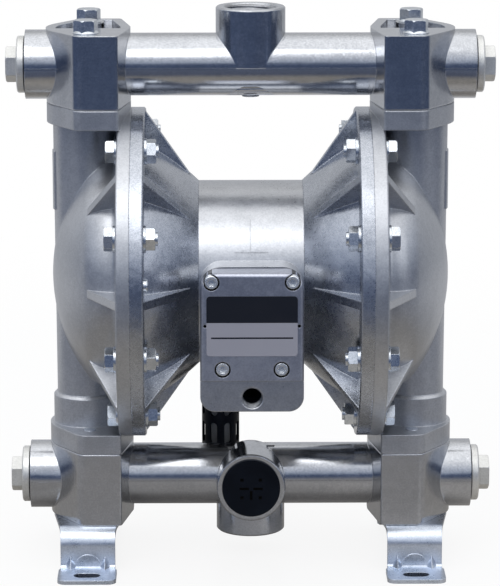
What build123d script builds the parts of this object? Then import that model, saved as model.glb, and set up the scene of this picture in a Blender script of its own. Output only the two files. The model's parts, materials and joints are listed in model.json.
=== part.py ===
from build123d import *
import os
from math import cos, hypot, radians, sqrt

# Air operated double diaphragm pump, aluminium, 1 inch ports.
# Millimetres. X runs along the diaphragm shaft, the front of the pump looks along -Y, +Z is up.
# Pieces are modelled about the shaft axis and lifted by shaft_height when they are written,
# so the origin is on the floor, midway between the four foot slots.

# Overall layout, from the middle of the pump
column_x = 101.0            # liquid columns, ball valves, manifold blocks
foot_x = 100.0
foot_height = 26.5          # floor to the bottom manifold blocks
joint_rise = 5.1            # manifold joint faces beyond the rim of the clamp flanges

# Clearances
running_gap = 0.05          # shaft in bush, screw in thread, ring in groove
assembly_gap = 0.3          # pieces that lie side by side
bolt_gap = 0.5              # bolt in its clearance hole, radial

# Clamped flanges of the air and fluid chambers
seam_x = 72.3               # face where the two chambers meet
flange_radius = 101.0
flange_thickness = 8.2
flange_bevel = 0.8
opening_inset = 25.0        # free part of the diaphragm, inside the flange's rim
clamp_land = 4.0
bolt_inset = 12.0           # bolt circle, inside the flange's rim
bolt_pairs = 4
bolt_spread = 24.2          # degrees from a bolt to the main rib beside it
rib_count = 8
rib_thickness = 5.0
rib_edge_step = 0.9         # rib starts this far inside the flange's rim

# Fluid chamber
dome_inset = 28.5           # foot of the dome, inside the flange's rim
dome_rise = 40.8            # from the flange face to the apex
dome_knuckle = 25.0         # bend between the flange and the wide crown
dome_wall = 6.0
dome_root_fillet = 4.0
rib_run = 17.7              # length of the outer ribs, until they run out on the dome
column_top_radius = 19.3
column_foot_radius = 18.3
column_bore = 13.5
collar_radius = 20.7
collar_height = 19.0
collar_bevel = 1.6
port_flange_thickness = 12.0
pad_height = 36.0           # cast pad on the column's outer side
pad_width = 14.0
pad_mid = 58.0
pad_proud = 0.6

# Outline shared by the port flanges and the manifold blocks, from the column axis
port_half_depth = 40.0
port_out_front = 3.5
port_out_tip = 29.5
port_in_front = 21.5
port_in_side = 28.2
port_in_half = 4.0
port_tip_round = 34.0
port_corner_round = 8.0
port_small_round = 2.0
joint_bevel = 0.5           # edges of the joint faces

# Ball valves
ball_radius = 12.7
ball_lift = 8.0
seat_bore = 10.5
seat_radius = 17.5
seat_height = 8.0
seat_bevel = 1.2
seat_ring_radius = 1.3
cage_radius = 16.2
cage_rib_width = 3.0
cage_rib_count = 4
ball_side_gap = 0.4
stop_width = 6.0

# Manifolds
block_height = 44.9
pipe_radius = 19.0
pipe_bore = 13.0
throat_radius = 12.4        # passages that leave the pipe bore
stub_radius = 21.0
stub_end_x = 136.4
boss_radius = 21.1
boss_reach = 35.3           # boss rim from the pipe axis
boss_bevel = 0.8
port_thread_radius = 15.15
port_thread_length = 20.0
port_mouth_bevel = 1.4
pocket_wall = 6.0
pocket_front = -4.0
pocket_depth = 14.0
pocket_boss_radius = 9.6
nub_radius = 5.3
nub_height = 0.6

# Stub plugs
plug_thread_radius = 13.0
plug_thread_length = 11.0
plug_flange_radius = 17.3
plug_flange_thickness = 4.3
plug_hex = 19.0
plug_hex_height = 6.8
plug_ring_thickness = 0.8
plug_bevel = 0.8

# Centre body and valve chest
body_radius = 56.0
body_half_length = 31.7
chest_half_width = 30.8
chest_top = 17.3
chest_bottom = -67.5
chest_face_y = -69.0
chest_top_round = 13.0
chest_low_round = 9.0
chest_root_y = -18.0
ledge_top = -49.0
ledge_face_y = -85.0
inlet_z = -59.2
inlet_thread_radius = 5.8
inlet_thread_length = 16.0
inlet_mouth_bevel = 1.0
passage_radius = 4.0

# Valve cover
cover_gasket_thickness = 1.0
cover_thickness = 16.0
cover_round = 11.0
cover_edge_fillet = 2.4
cover_top_drop = 0.8        # cover top below the chest top
cover_screw_high = (24.0, 11.0)
cover_screw_low = (17.5, -41.7)
cover_screw_radius = 2.5
cover_screw_head_radius = 4.2
cover_screw_head_height = 5.0
cover_screw_head_sink = 0.5
cover_screw_hex = 4.0
cover_screw_bite = 10.0
cover_counterbore_gap = 0.5
label_width = 54.0
label_height = 36.3
label_mid_z = -15.2
label_round = 2.2
label_thickness = 0.4
label_pin_radius = 0.9
label_pin_depth = 2.0

# Valve block and spool
pocket_half_width = 24.0
pocket_top = 6.0
pocket_bottom = -34.0
pocket_floor_y = -42.0
spool_radius = 8.0
spool_neck_radius = 5.0
spool_land = 6.0
spool_travel = 5.0
block_depth = 24.0
cap_plate = 3.0

# Air chambers
cone_inset = 21.0           # foot of the cone, inside the flange's rim
cone_bulge = 1.6
cone_rib_start = 3.5        # ribs begin this far from the centre body
air_wall = 5.0
end_wall = 6.5

# Shaft, plates and diaphragms
shaft_radius = 8.0
stroke = 10.0
plate_radius = 45.0
plate_rim = 3.5
inner_plate_thickness = 8.0
outer_plate_thickness = 9.0
crown_rise = 0.8            # bend of the domed outer plate, as shares of its height and radius
crown_radius = 0.65
plate_hub_radius = 17.0
web_thickness = 3.0
loop_rise = 6.0
loop_margin = 3.0           # flat web between a clamped edge and the rolling loop
bead_inset = 20.5           # diaphragm bead, inside the flange's rim
bead_width = 5.0
bead_depth = 3.0
shaft_nut = 24.0
shaft_nut_height = 8.0
shaft_tip = 2.0
rod_bevel = 1.0             # ends of the shaft and of the pilot rod
bush_radius = 12.0
bush_length = 15.0
seal_length = 4.5

# Pilot rod
pilot_radius = 4.0
pilot_z = 30.0
pilot_ratio = 0.5           # share of the stroke that the rod follows
pilot_bush_radius = 7.0
pilot_bush_length = 8.0

# Fasteners
chamber_bolt_radius = 4.0
chamber_hex = 13.0
chamber_head_height = 5.3
chamber_nut_height = 5.6
chamber_tip = 1.5
washer_radius = 8.0
washer_thickness = 1.6
hex_bevel = 0.7
hex_turn = 15.0             # degrees that the nuts and manifold bolts are turned
manifold_bolt_x = 98.9
manifold_bolt_y = 25.5
manifold_bolt_radius = 4.0
manifold_bolt_flange = 7.8
manifold_bolt_flange_height = 1.8
manifold_bolt_rim = 0.4
manifold_bolt_hex = 13.0
manifold_bolt_head = 8.0
manifold_bolt_tip = 0.3
earth_screw_angle = 6.4
earth_screw_radius = 2.0
earth_screw_head = 4.0
earth_screw_head_height = 3.0
earth_screw_bite = 6.0

# Feet
foot_plate = 2.5
foot_width = 35.5
foot_neck = 33.4
foot_bracket_width = 44.4
foot_flat = 6.0             # half length of the straight sides under the block
foot_web_y = 48.5
foot_front_y = 76.0
foot_bend = 11.0
foot_corner_round = 5.0
foot_slot_y = 65.0
foot_slot_length = 16.0
foot_slot_radius = 4.35
foot_dart_x = 10.4
foot_dart_width = 8.4
foot_dart_height = 8.0
foot_dart_reach = 6.0
foot_dart_sink = 0.5
foot_pad_radius = 8.2       # pressed half round between the darts
foot_pad_proud = 0.7

# Front port cap
port_cap_radius = 17.8
port_cap_thickness = 2.4
port_cap_shank = 12.0
port_cap_wall = 1.6
port_cap_mark_depth = 0.8
port_cap_mark_width = 1.5
port_cap_mark_span = 14.0
port_cap_dot_offset = 5.6

# Muffler under the centre body, at the rear
muffler_x = -18.5
muffler_inset = 16.0        # muffler axis, inside the rear of the centre body
muffler_radius = 11.8
muffler_wall = 1.7
muffler_length = 66.0
muffler_neck_radius = 6.5
muffler_neck_length = 9.0
muffler_slot_columns = 8
muffler_slot_rows = 3
muffler_slot_width = 4.6
muffler_slot_length = 13.4
muffler_slot_pitch = 17.8
muffler_slot_first = 16.3
exhaust_boss_radius = 13.0
exhaust_boss_drop = 3.0     # below the centre body

# Values worked out from the sizes above
fluid_face_x = seam_x + flange_thickness
air_face_x = seam_x - flange_thickness
clamp_opening = flange_radius - opening_inset
bolt_circle = flange_radius - bolt_inset
bead_radius = flange_radius - bead_inset
cone_root_radius = flange_radius - cone_inset
dome_radius = flange_radius - dome_inset
dome_apex_x = fluid_face_x + dome_rise
knuckle_r = dome_radius - dome_knuckle
crown_back = (dome_radius**2 - dome_rise**2) / 2 / (dome_rise - dome_knuckle)
crown_back -= (dome_radius - dome_rise) * dome_knuckle / (dome_rise - dome_knuckle)
joint_height = flange_radius + joint_rise
block_end = joint_height + block_height
pipe_height = joint_height + block_height / 2
shaft_height = block_end + foot_height
floor_z = -shaft_height
muffler_y = body_radius - muffler_inset
exhaust_boss_z = -body_radius - exhaust_boss_drop
ball_rise = sqrt(ball_radius**2 - seat_bore**2)
ball_top = ball_rise + ball_radius + ball_lift
bevel_radius = flange_radius - flange_bevel
bolt_hole = chamber_bolt_radius + bolt_gap
manifold_hole = manifold_bolt_radius + bolt_gap
plate_back_x = seam_x - web_thickness / 2 - inner_plate_thickness
pilot_tip = plate_back_x - stroke * (1 - pilot_ratio) - running_gap
cover_face_y = chest_face_y - cover_gasket_thickness - cover_thickness


# Solid of revolution about the shaft axis, from lines and arcs in the XZ plane
def turned(*curves):
    edges = [edge for curve in curves for edge in curve.edges()]
    return revolve(make_face(Wire(edges)), Axis.X)


# Solid of revolution about the shaft axis, from corner points (x, radius)
def turned_points(*points):
    corners = [(x, 0, r) for x, r in points]
    return revolve(make_face(Polyline(*corners, close=True)), Axis.X)


# Cylinder along X between two stations
def rod_x(radius, start, end, y=0.0, z=0.0):
    return Pos((start + end) / 2, y, z) * Rot(0, 90, 0) * Cylinder(radius, end - start)


# Cylinder along Y between two stations
def rod_y(radius, start, end, x=0.0, z=0.0):
    return Pos(x, (start + end) / 2, z) * Rot(90, 0, 0) * Cylinder(radius, end - start)


# Cylinder along Z between two stations
def rod_z(radius, start, end, x=0.0, y=0.0):
    return Pos(x, y, (start + end) / 2) * Cylinder(radius, end - start)


# Cylinder standing on z = 0, with its top edge bevelled
def post(radius, height, bevel):
    return chamfer(rod_z(radius, 0, height).edges().sort_by(Axis.Z)[-1], bevel)


# Box between two corners
def block(low, high):
    size = [b - a for a, b in zip(low, high)]
    middle = [(a + b) / 2 for a, b in zip(low, high)]
    return Pos(*middle) * Box(*size)


# Copies of a piece round the shaft axis
def around_shaft(piece, count):
    return [Rot(360 * k / count, 0, 0) * piece for k in range(count)]


# Copies of a piece at the chamber bolts, in pairs beside the main ribs
def at_bolts(piece):
    turns = [360 * k / bolt_pairs + side * bolt_spread for k in range(bolt_pairs) for side in (-1, 1)]
    return [Rot(turn, 0, 0) * Pos(0, 0, bolt_circle) * piece for turn in turns]


# Hexagonal prism along Z with its corners turned off at the top
def hex_head(across_flats, height, turn=0.0):
    prism = Rot(0, 0, turn) * extrude(RegularPolygon(across_flats / 2, 6, major_radius=False), height)
    corner = across_flats / 2 / cos(radians(30))
    return prism & post(corner, height, hex_bevel)


# Outline of a port flange, seen from above on the +X side
def port_outline():
    front = column_x + port_out_front
    corners = [
        (column_x - port_in_side, -port_in_half),
        (column_x - port_in_front, -port_half_depth),
        (front, -port_half_depth),
        (column_x + port_out_tip, 0),
        (front, port_half_depth),
        (column_x - port_in_front, port_half_depth),
        (column_x - port_in_side, port_in_half),
    ]
    outline = Polygon(*corners, align=None)
    by_x = outline.vertices().sort_by(Axis.X)
    outline = fillet(by_x[-1], port_tip_round)
    outer = [v for v in outline.vertices() if abs(v.X - front) < 1e-6]
    outline = fillet(outer, port_corner_round)
    inner = [v for v in outline.vertices() if v.X < column_x - port_in_front + 1e-6]
    return fillet(inner, port_small_round)


# Plate with the port outline, from its joint face to a height, both above or below the axis
def port_plate(joint, end):
    plate = Pos(0, 0, min(joint, end)) * extrude(port_outline(), abs(end - joint))
    face = [f for f in plate.faces().filter_by(Axis.Z) if abs(f.center().Z - joint) < 0.01]
    return chamfer(face[0].edges(), joint_bevel)


# Profile of the dome, set in from its outer surface: knuckle at the flange, then the crown
def dome_profile(inset):
    share = (dome_knuckle - inset) / hypot(crown_back, knuckle_r)
    meet = (fluid_face_x + share * crown_back, 0, knuckle_r * (1 + share))
    return [
        TangentArc((fluid_face_x, 0, dome_radius - inset), meet, tangent=(1, 0, 0)),
        TangentArc((dome_apex_x - inset, 0, 0), meet, tangent=(0, 0, 1)),
    ]


# Ribs of the cage that guides a ball, standing in a bore of the cage radius
def cage_ribs(low, high):
    reach_in = ball_radius + ball_side_gap
    rib = block((reach_in, -cage_rib_width / 2, low), (cage_radius + 1, cage_rib_width / 2, high))
    ribs = [Rot(0, 0, 45 + 360 * k / cage_rib_count) * rib for k in range(cage_rib_count)]
    return [Pos(column_x, 0, 0) * r for r in ribs]


# Fluid chamber on the +X side: dome, ribs, liquid column and both port flanges
def fluid_chamber():
    shell = turned(
        Line((seam_x, 0, 0), (seam_x, 0, flange_radius)),
        Line((seam_x, 0, flange_radius), (fluid_face_x - flange_bevel, 0, flange_radius)),
        Line((fluid_face_x - flange_bevel, 0, flange_radius), (fluid_face_x, 0, bevel_radius)),
        Line((fluid_face_x, 0, bevel_radius), (fluid_face_x, 0, dome_radius)),
        *dome_profile(0),
        Line((dome_apex_x, 0, 0), (seam_x, 0, 0)),
    )
    corner = [e for e in shell.edges().filter_by(GeomType.CIRCLE)
              if abs(e.center().X - fluid_face_x) < 0.01 and abs(e.radius - dome_radius) < 0.01]
    shell = fillet(corner, dome_root_fillet)

    rib_end = fluid_face_x + rib_run
    rib_end_radius = knuckle_r + sqrt(dome_knuckle**2 - rib_run**2)
    rib = Plane.XZ * make_face(Polyline(
        (fluid_face_x - 1, flange_radius - rib_edge_step),
        (fluid_face_x, flange_radius - rib_edge_step),
        (rib_end, rib_end_radius),
        (rib_end - dome_wall, rib_end_radius - dome_wall / 2),
        (fluid_face_x - 1, dome_radius - dome_wall / 2),
        close=True))
    shell += around_shaft(extrude(rib, rib_thickness / 2, both=True), rib_count)

    reach = joint_height - port_flange_thickness
    column = Cone(column_foot_radius, column_top_radius, 2 * reach + port_flange_thickness)
    shell += Pos(column_x, 0, 0) * column
    collar_top = -reach + collar_height
    collar = chamfer(rod_z(collar_radius, -reach - 1, collar_top).edges().sort_by(Axis.Z)[-1], collar_bevel)
    shell += Pos(column_x, 0, 0) * collar
    shell += port_plate(joint_height, reach)
    shell += port_plate(-joint_height, -reach)
    pad_reach = column_top_radius + pad_proud
    pad = rod_z(pad_reach, pad_mid - pad_height / 2, pad_mid + pad_height / 2)
    pad &= block((0, -pad_width / 2, 0), (pad_reach + 1, pad_width / 2, joint_height))
    shell += Pos(column_x, 0, 0) * pad

    inner = dome_radius - dome_wall
    land_x = seam_x + clamp_land
    shell -= turned(
        Polyline((dome_apex_x - dome_wall, 0, 0), (seam_x - 1, 0, 0), (seam_x - 1, 0, clamp_opening),
                 (land_x, 0, clamp_opening), (land_x, 0, inner), (fluid_face_x, 0, inner)),
        *dome_profile(dome_wall),
    )
    shell -= clamp_groove()
    shell -= rod_z(column_bore, -joint_height, joint_height, x=column_x)

    cage_top = -joint_height + ball_top + assembly_gap
    shell -= rod_z(cage_radius, -joint_height - 1, cage_top, x=column_x)
    shell += cage_ribs(-joint_height + ball_rise, cage_top)
    half = stop_width / 2
    stop = block((-column_bore - 1, -half, cage_top), (column_bore + 1, half, cage_top + stop_width))
    shell += Pos(column_x, 0, 0) * stop
    shell -= rod_z(seat_radius + running_gap, joint_height - seat_height, joint_height + 1, x=column_x)

    shell -= at_bolts(rod_x(bolt_hole, seam_x - 1, fluid_face_x + 1))
    for y in (-manifold_bolt_y, manifold_bolt_y):
        thread = manifold_bolt_radius + running_gap
        shell -= rod_z(thread, reach - 1, joint_height + 1, manifold_bolt_x, y)
        shell -= rod_z(thread, -joint_height - 1, -reach + 1, manifold_bolt_x, y)
    return shell


# Flat ring about the shaft axis
def ring_x(mean_radius, width, start, end):
    outer = rod_x(mean_radius + width / 2, start, end)
    return outer - rod_x(mean_radius - width / 2, start - 1, end + 1)


# Room for the diaphragm's bead and edge between the two clamp flanges
def clamp_groove():
    bead = ring_x(bead_radius, bead_width, seam_x - bead_depth, seam_x + bead_depth)
    edge = web_thickness / 2 + running_gap
    return bead + rod_x(bead_radius, seam_x - edge, seam_x + edge)


# Air chamber on the +X side: ribbed cone with the clamp flange
def air_chamber():
    mid_r = (body_radius + cone_root_radius) / 2 + cone_bulge
    on_cone = ((body_half_length + air_face_x) / 2, 0, mid_r)
    shell = turned(
        Line((body_half_length, 0, 0), (body_half_length, 0, body_radius)),
        ThreePointArc((body_half_length, 0, body_radius), on_cone, (air_face_x, 0, cone_root_radius)),
        Line((air_face_x, 0, cone_root_radius), (air_face_x, 0, bevel_radius)),
        Line((air_face_x, 0, bevel_radius), (air_face_x + flange_bevel, 0, flange_radius)),
        Line((air_face_x + flange_bevel, 0, flange_radius), (seam_x, 0, flange_radius)),
        Line((seam_x, 0, flange_radius), (seam_x, 0, 0)),
        Line((seam_x, 0, 0), (body_half_length, 0, 0)),
    )
    cone_slope = (cone_root_radius - body_radius) / (air_face_x - body_half_length)
    start_x = body_half_length + cone_rib_start
    start_radius = body_radius + cone_rib_start * cone_slope
    rib = Plane.XZ * make_face(Polyline(
        (air_face_x + 1, flange_radius - rib_edge_step),
        (air_face_x, flange_radius - rib_edge_step),
        (start_x, start_radius),
        (start_x, start_radius - air_wall / 2),
        (air_face_x + 1, cone_root_radius - air_wall / 2),
        close=True))
    shell += around_shaft(extrude(rib, rib_thickness / 2, both=True), rib_count)

    floor_x = body_half_length + end_wall
    land_x = seam_x - clamp_land
    floor_r = body_radius + end_wall * cone_slope - air_wall
    land_r = cone_root_radius - air_wall
    mid_cavity = ((floor_x + land_x) / 2, 0, (floor_r + land_r) / 2 + cone_bulge / 2)
    shell -= turned(
        Line((floor_x, 0, 0), (floor_x, 0, floor_r)),
        ThreePointArc((floor_x, 0, floor_r), mid_cavity, (land_x, 0, land_r)),
        Line((land_x, 0, land_r), (land_x, 0, clamp_opening)),
        Line((land_x, 0, clamp_opening), (seam_x + 1, 0, clamp_opening)),
        Line((seam_x + 1, 0, clamp_opening), (seam_x + 1, 0, 0)),
        Line((seam_x + 1, 0, 0), (floor_x, 0, 0)),
    )
    shell -= clamp_groove()
    shell -= rod_x(shaft_radius + assembly_gap, body_half_length - 1, floor_x + 1)
    shell -= rod_x(pilot_bush_radius + running_gap, body_half_length - 1, floor_x + 1, z=pilot_z)
    return shell - at_bolts(rod_x(bolt_hole, air_face_x - 1, seam_x + 1))


# Earth screw place on the left flange, just above the main rib at the front
def at_earth_screw(piece):
    return Rot(-earth_screw_angle, 0, 0) * Pos(-air_face_x, -bolt_circle, 0) * piece


# Outline of the valve chest, seen from the front, between two heights
def chest_outline(half_width, bottom, top, top_round, low_round):
    outline = Pos(0, (bottom + top) / 2) * Rectangle(2 * half_width, top - bottom)
    if low_round > 0:
        low = outline.vertices().group_by(Axis.Y)[0]
        outline = fillet(low, low_round)
    high = outline.vertices().group_by(Axis.Y)[-1]
    return fillet(high, top_round) if top_round > 0 else outline


# Prism of a front-view outline between two depths, the nearer one first
def from_front(outline, near_y, far_y):
    return Pos(0, far_y, 0) * extrude(Plane.XZ * outline, far_y - near_y)


# Positions of the four cover screws, seen from the front
def cover_screw_places():
    return [(side * x, z) for x, z in (cover_screw_high, cover_screw_low) for side in (-1, 1)]


# Outline of the valve pocket, seen from the front
def pocket_outline():
    height = pocket_top - pocket_bottom
    return Pos(0, pocket_bottom + height / 2) * Rectangle(2 * pocket_half_width, height)


# Centre body: barrel, valve chest with its ledge, exhaust boss and bores
def center_body():
    body = rod_x(body_radius, -body_half_length, body_half_length)
    chest = chest_outline(chest_half_width, chest_bottom, chest_top, chest_top_round, chest_low_round)
    body += from_front(chest, chest_face_y, chest_root_y)
    ledge = chest_outline(chest_half_width, chest_bottom, ledge_top, 0, chest_low_round)
    body += from_front(ledge, ledge_face_y, chest_face_y + 1)
    body += rod_z(exhaust_boss_radius, exhaust_boss_z, -body_radius / 2, muffler_x, muffler_y)

    body -= rod_x(bush_radius + running_gap, -body_half_length - 1, body_half_length + 1)
    body -= from_front(pocket_outline(), chest_face_y - 1, pocket_floor_y)
    body -= rod_x(pilot_radius + assembly_gap, -body_half_length - 1, body_half_length + 1, z=pilot_z)
    for start in (-body_half_length - 1, body_half_length - pilot_bush_length):
        body -= rod_x(pilot_bush_radius + running_gap, start, start + pilot_bush_length + 1, z=pilot_z)
    body -= inlet_bore()
    body -= rod_z(passage_radius, inlet_z, pocket_bottom + 1, y=pocket_floor_y - 6)
    exhaust_z = pocket_bottom + passage_radius + 1
    neck_top = exhaust_boss_z + muffler_neck_length + 1
    body -= rod_z(muffler_neck_radius + running_gap, exhaust_boss_z - 1, neck_top, muffler_x, muffler_y)
    body -= rod_z(passage_radius, exhaust_boss_z, exhaust_z, muffler_x, muffler_y)
    body -= rod_y(passage_radius, pocket_floor_y - 1, muffler_y, muffler_x, exhaust_z)
    screw_end = chest_face_y + cover_screw_bite
    for x, z in cover_screw_places():
        body -= rod_y(cover_screw_radius + running_gap, chest_face_y - 1, screw_end, x, z)
    return body


# Threaded air inlet with its bevelled mouth, and the drilling behind it
def inlet_bore():
    bore = rod_y(inlet_thread_radius, ledge_face_y - 1, ledge_face_y + inlet_thread_length, z=inlet_z)
    bore += rod_y(passage_radius, ledge_face_y, pocket_floor_y - 6, z=inlet_z)
    mouth = Cone(inlet_thread_radius + 2 * inlet_mouth_bevel, inlet_thread_radius, 2 * inlet_mouth_bevel)
    return bore + Pos(0, ledge_face_y, inlet_z) * Rot(-90, 0, 0) * mouth


# Valve cover with its rounded front edge, counterbores and label pin holes
def valve_cover():
    bottom = ledge_top + assembly_gap
    top = chest_top - cover_top_drop
    outline = chest_outline(chest_half_width, bottom, top, cover_round, 0)
    cover = from_front(outline, cover_face_y, chest_face_y - cover_gasket_thickness)
    rim = cover.faces().sort_by(Axis.Y)[0].edges()
    rim = [e for e in rim if e.center().Z > bottom + 1]
    cover = fillet(rim, cover_edge_fillet)
    for x, z in cover_screw_places():
        sink = cover_screw_head_height + cover_screw_head_sink
        head_hole = cover_screw_head_radius + cover_counterbore_gap
        cover -= rod_y(head_hole, cover_face_y - 1, cover_face_y + sink, x, z)
        cover -= rod_y(cover_screw_radius + assembly_gap, cover_face_y, chest_face_y, x, z)
    for side in (-1, 1):
        pin_x = side * (label_width / 2 + label_pin_radius)
        cover -= rod_y(label_pin_radius, cover_face_y - 1, cover_face_y + label_pin_depth, pin_x, label_mid_z)
    return cover


# Gasket between the chest and the cover
def cover_gasket():
    bottom = ledge_top + assembly_gap
    outline = chest_outline(chest_half_width, bottom, chest_top - cover_top_drop, cover_round, 0)
    gasket = from_front(outline - pocket_outline(), chest_face_y - cover_gasket_thickness, chest_face_y)
    for x, z in cover_screw_places():
        gasket -= rod_y(cover_screw_radius + assembly_gap, cover_face_y, chest_face_y + 1, x, z)
    return gasket


# Socket head screw, head towards the front
def cover_screw():
    head = post(cover_screw_head_radius, cover_screw_head_height, cover_screw_head_sink)
    socket = extrude(RegularPolygon(cover_screw_hex / 2, 6, major_radius=False), cover_screw_head_height)
    head -= Pos(0, 0, cover_screw_head_height / 2) * socket
    under_head = cover_thickness - cover_screw_head_height - cover_screw_head_sink + cover_gasket_thickness
    shank = under_head + cover_screw_bite - 1
    head += rod_z(cover_screw_radius, -shank, 0)
    seat_y = cover_face_y + cover_screw_head_height + cover_screw_head_sink
    return Pos(0, seat_y, 0) * Rot(90, 0, 0) * head


# Bare plate on the cover
def label_plate():
    outline = Pos(0, label_mid_z) * RectangleRounded(label_width, label_height, label_round)
    return from_front(outline, cover_face_y - label_thickness, cover_face_y)


# Valve block in the chest pocket, its two end plates and its spool
def valve_pieces():
    mid_z = (pocket_top + pocket_bottom) / 2
    half_z = (pocket_top - pocket_bottom) / 2 - assembly_gap
    half_x = pocket_half_width - cap_plate - assembly_gap
    far_y = pocket_floor_y
    near_y = far_y - block_depth
    mid_y = (near_y + far_y) / 2
    body = block((-half_x, near_y, mid_z - half_z), (half_x, far_y, mid_z + half_z))
    body -= rod_x(spool_radius + running_gap, -half_x - 1, half_x + 1, mid_y, mid_z)
    for x in (-half_x / 2, 0, half_x / 2):
        body -= rod_y(passage_radius / 2, mid_y, far_y + 1, x, mid_z)
    plate = block((half_x, near_y, mid_z - half_z), (half_x + cap_plate, far_y, mid_z + half_z))
    plates = [plate, mirror(plate, Plane.YZ)]
    reach = half_x - spool_travel - assembly_gap
    spool = rod_x(spool_radius, -reach, reach)
    for side in (-1, 1):
        low, high = sorted((side * spool_land / 2, side * (reach - spool_land)))
        spool -= rod_x(spool_radius + 1, low, high) - rod_x(spool_neck_radius, low, high)
    return body, plates, Pos(0, mid_y, mid_z) * spool


# Manifold seen with its ports upwards; valve_side is "outlet" or "inlet"
def manifold(valve_side, front_port):
    pipe_z = pipe_height
    solid = rod_x(pipe_radius, -column_x, column_x, z=pipe_z)
    solid += rod_x(stub_radius, -stub_end_x, -column_x, z=pipe_z)
    solid += rod_x(stub_radius, column_x, stub_end_x, z=pipe_z)
    solid += block_casting()
    solid += mirror(block_casting(), Plane.YZ)
    boss = post(boss_radius, boss_reach, boss_bevel)
    solid += Pos(0, 0, pipe_z) * boss
    if front_port:
        solid += Pos(0, 0, pipe_z) * Rot(90, 0, 0) * boss
    else:
        solid += rod_z(nub_radius, pipe_z - pipe_radius - nub_height, pipe_z)

    solid -= rod_x(pipe_bore, -stub_end_x - 1, stub_end_x + 1, z=pipe_z)
    solid -= Pos(0, 0, pipe_z) * port_bore()
    if front_port:
        solid -= Pos(0, 0, pipe_z) * Rot(90, 0, 0) * port_bore()
    for cut in valve_room(valve_side):
        solid -= cut
        solid -= mirror(cut, Plane.YZ)
    if valve_side == "outlet":
        for rib in cage_ribs(joint_height + ball_rise, joint_height + ball_top):
            guide = rib - rod_x(pipe_bore, column_x - cage_radius - 2, column_x + cage_radius + 2, z=pipe_z)
            solid += guide
            solid += mirror(guide, Plane.YZ)
        stop_low = joint_height + ball_top + assembly_gap
        for x in (-column_x, column_x):
            solid += rod_z(stop_width / 2, stop_low, pipe_z + pipe_bore + 1, x)
    for x in (-manifold_bolt_x, manifold_bolt_x):
        for y in (-manifold_bolt_y, manifold_bolt_y):
            solid -= rod_z(manifold_hole, joint_height - 1, block_end + 1, x, y)
    return solid


# Block at the +X end of a manifold, with its open pocket behind the front shelf
def block_casting():
    solid = port_plate(joint_height, block_end)
    inner = offset(port_outline(), -pocket_wall)
    room = Pos(0, 0, block_end - pocket_depth) * extrude(inner, pocket_depth + 1)
    room &= block((0, pocket_front, 0), (2 * stub_end_x, port_half_depth, block_end + 1))
    room -= rod_x(pipe_radius, 0, stub_end_x, z=pipe_height)
    room -= rod_z(pocket_boss_radius, 0, block_end + 1, manifold_bolt_x, manifold_bolt_y)
    return solid - room


# Threaded port with its bevelled mouth, opening upwards from the pipe axis
def port_bore():
    bore = rod_z(throat_radius, 0, boss_reach + 1)
    bore += rod_z(port_thread_radius, boss_reach - port_thread_length, boss_reach + 1)
    mouth = Cone(port_thread_radius, port_thread_radius + port_mouth_bevel, port_mouth_bevel)
    return bore + Pos(0, 0, boss_reach - port_mouth_bevel / 2) * mouth


# Hollows for the ball valve in the block on the +X side
def valve_room(valve_side):
    if valve_side == "outlet":
        return [rod_z(cage_radius, joint_height - 1, pipe_height, column_x)]
    return [
        rod_z(seat_radius + running_gap, joint_height - 1, joint_height + seat_height, column_x),
        rod_z(throat_radius, joint_height, pipe_height, column_x),
    ]


# Ball seat ring on the +X side, sealing face upwards at height z
def ball_seat(z):
    seat = rod_z(seat_radius, z - seat_height + running_gap, z, column_x)
    seat -= rod_z(seat_bore, z - seat_height - 1, z + 1, column_x)
    groove = 2 * seat_ring_radius + 2 * running_gap
    band = rod_z(seat_radius + 1, z - seat_bevel - groove, z - seat_bevel, column_x)
    return seat - (band - rod_z(seat_radius - groove, z - seat_height, z, column_x))


# Sealing ring in the groove of a ball seat
def seat_ring(z):
    groove = 2 * seat_ring_radius + 2 * running_gap
    ring = Torus(seat_radius - groove / 2, seat_ring_radius)
    return Pos(column_x, 0, z - seat_bevel - groove / 2) * ring


# Diaphragm on the +X side: clamped bead, rolling loop and flat middle
def diaphragm():
    bead_in = bead_radius - bead_width / 2 + running_gap
    bead_out = bead_radius + bead_width / 2 - running_gap
    bead_half = bead_depth - running_gap
    loop_start = plate_radius + loop_margin
    loop_end = clamp_opening - loop_margin
    mid = (loop_start + loop_end) / 2
    bore = shaft_radius + running_gap
    low = seam_x - web_thickness / 2
    high = seam_x + web_thickness / 2
    return turned(
        Line((low, 0, bore), (low, 0, loop_start)),
        ThreePointArc((low, 0, loop_start), (low - loop_rise, 0, mid), (low, 0, loop_end)),
        Polyline((low, 0, loop_end), (low, 0, bead_in), (seam_x - bead_half, 0, bead_in),
                 (seam_x - bead_half, 0, bead_out), (seam_x + bead_half, 0, bead_out),
                 (seam_x + bead_half, 0, bead_in), (high, 0, bead_in), (high, 0, loop_end)),
        ThreePointArc((high, 0, loop_end), (high - loop_rise, 0, mid), (high, 0, loop_start)),
        Polyline((high, 0, loop_start), (high, 0, bore), (low, 0, bore)),
    )


# Plate that clamps the diaphragm on the air side, +X end
def inner_plate():
    face = seam_x - web_thickness / 2
    bore = shaft_radius + running_gap
    return turned_points(
        (face, bore), (face, plate_radius), (face - plate_rim, plate_radius),
        (face - inner_plate_thickness, plate_hub_radius), (face - inner_plate_thickness, bore))


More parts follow.
